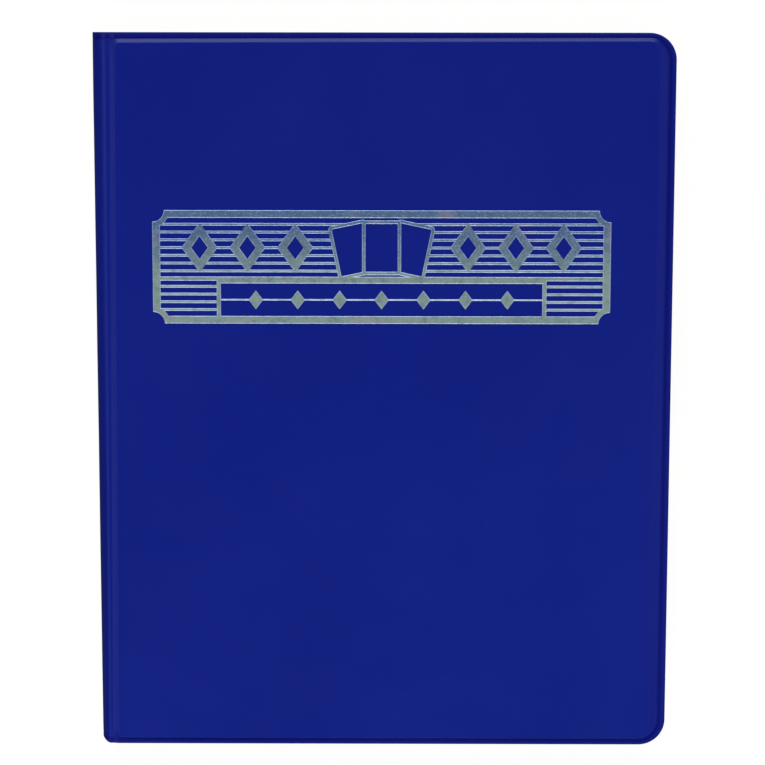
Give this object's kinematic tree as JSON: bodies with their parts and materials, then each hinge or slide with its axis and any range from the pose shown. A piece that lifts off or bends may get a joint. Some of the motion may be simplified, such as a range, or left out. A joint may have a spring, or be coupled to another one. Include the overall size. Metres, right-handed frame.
{
  "type": "trading card binder",
  "caption": "Slim vinyl portfolio binder for trading cards: two hinged covers, rounded spine and clear nine-pocket pages bound into it.",
  "frame": {"origin": "middle of the closed binder's outline, on the outer face of the rear cover that it lies on", "axes": "+Z from the rear cover to the front cover, +Y from the foot to the head of the cover, +X from the spine to the fore edge"},
  "size_m": [0.2486, 0.311, 0.0207],
  "materials": {
    "cover_vinyl": "cobalt blue vinyl, fine calendered grain, satin",
    "liner_vinyl": "cobalt blue vinyl, plain inner side, satin",
    "chipboard": "plain grey-brown chipboard, sealed inside the vinyl",
    "clear_film": "clear polypropylene film, smooth",
    "binding_plastic": "page margins fused into one milky strip",
    "foil": "hot-stamped metallic foil, blue-grey fading to pale green"
  },
  "bodies": {
    "rear_cover": {"rear_cover_skin": "cover_vinyl", "rear_cover_board": "chipboard", "rear_cover_liner": "liner_vinyl"},
    "spine": {"spine_skin": "cover_vinyl", "spine_board": "chipboard", "spine_liner": "liner_vinyl", "rear_hinge_web": "cover_vinyl", "page_binding": "binding_plastic"},
    "front_cover": {"front_cover_skin": "cover_vinyl", "front_cover_board": "chipboard", "front_cover_liner": "liner_vinyl", "front_hinge_web": "cover_vinyl", "foil_emblem": "foil"},
    "page_01": {"page_01_back_film": "clear_film", "page_01_pocket_film": "clear_film"},
    "page_02": {"page_02_back_film": "clear_film", "page_02_pocket_film": "clear_film"},
    "page_03": {"page_03_back_film": "clear_film", "page_03_pocket_film": "clear_film"},
    "page_04": {"page_04_back_film": "clear_film", "page_04_pocket_film": "clear_film"},
    "page_05": {"page_05_back_film": "clear_film", "page_05_pocket_film": "clear_film"},
    "page_06": {"page_06_back_film": "clear_film", "page_06_pocket_film": "clear_film"},
    "page_07": {"page_07_back_film": "clear_film", "page_07_pocket_film": "clear_film"},
    "page_08": {"page_08_back_film": "clear_film", "page_08_pocket_film": "clear_film"},
    "page_09": {"page_09_back_film": "clear_film", "page_09_pocket_film": "clear_film"},
    "page_10": {"page_10_back_film": "clear_film", "page_10_pocket_film": "clear_film"}
  },
  "joints": [
    {"name": "rear_hinge", "type": "hinge", "parent": "rear_cover", "child": "spine", "pos_m": [-0.12105, 0, 0.0033], "axis": [0, -1, 0], "range_deg": [0, 90], "deforming": ["rear_hinge_web"]},
    {"name": "front_hinge", "type": "hinge", "parent": "spine", "child": "front_cover", "pos_m": [-0.12105, 0, 0.0172], "axis": [0, -1, 0], "range_deg": [0, 90], "deforming": ["front_hinge_web"]},
    {"name": "page_01_hinge", "type": "hinge", "parent": "spine", "child": "page_01", "pos_m": [-0.11775, 0, 0.0161], "axis": [0, -1, 0], "range_deg": [0, 90]},
    {"name": "page_02_hinge", "type": "hinge", "parent": "spine", "child": "page_02", "pos_m": [-0.1166, 0, 0.0148], "axis": [0, -1, 0], "range_deg": [0, 90]},
    {"name": "page_03_hinge", "type": "hinge", "parent": "spine", "child": "page_03", "pos_m": [-0.11545, 0, 0.0135], "axis": [0, -1, 0], "range_deg": [0, 90]},
    {"name": "page_04_hinge", "type": "hinge", "parent": "spine", "child": "page_04", "pos_m": [-0.1143, 0, 0.0122], "axis": [0, -1, 0], "range_deg": [0, 90]},
    {"name": "page_05_hinge", "type": "hinge", "parent": "spine", "child": "page_05", "pos_m": [-0.11315, 0, 0.0109], "axis": [0, -1, 0], "range_deg": [0, 90]},
    {"name": "page_06_hinge", "type": "hinge", "parent": "spine", "child": "page_06", "pos_m": [-0.11315, 0, 0.0096], "axis": [0, -1, 0], "range_deg": [-90, 0]},
    {"name": "page_07_hinge", "type": "hinge", "parent": "spine", "child": "page_07", "pos_m": [-0.1143, 0, 0.0083], "axis": [0, -1, 0], "range_deg": [-90, 0]},
    {"name": "page_08_hinge", "type": "hinge", "parent": "spine", "child": "page_08", "pos_m": [-0.11545, 0, 0.007], "axis": [0, -1, 0], "range_deg": [-90, 0]},
    {"name": "page_09_hinge", "type": "hinge", "parent": "spine", "child": "page_09", "pos_m": [-0.1166, 0, 0.0057], "axis": [0, -1, 0], "range_deg": [-90, 0]},
    {"name": "page_10_hinge", "type": "hinge", "parent": "spine", "child": "page_10", "pos_m": [-0.11775, 0, 0.0044], "axis": [0, -1, 0], "range_deg": [-90, 0]}
  ],
  "couplings": [
    {"joint": "page_01_hinge", "follows": "front_hinge", "ratio": 1},
    {"joint": "page_02_hinge", "follows": "front_hinge", "ratio": 1},
    {"joint": "page_03_hinge", "follows": "front_hinge", "ratio": 1},
    {"joint": "page_04_hinge", "follows": "front_hinge", "ratio": 1},
    {"joint": "page_05_hinge", "follows": "front_hinge", "ratio": 1},
    {"joint": "page_06_hinge", "follows": "rear_hinge", "ratio": -1},
    {"joint": "page_07_hinge", "follows": "rear_hinge", "ratio": -1},
    {"joint": "page_08_hinge", "follows": "rear_hinge", "ratio": -1},
    {"joint": "page_09_hinge", "follows": "rear_hinge", "ratio": -1},
    {"joint": "page_10_hinge", "follows": "rear_hinge", "ratio": -1}
  ]
}
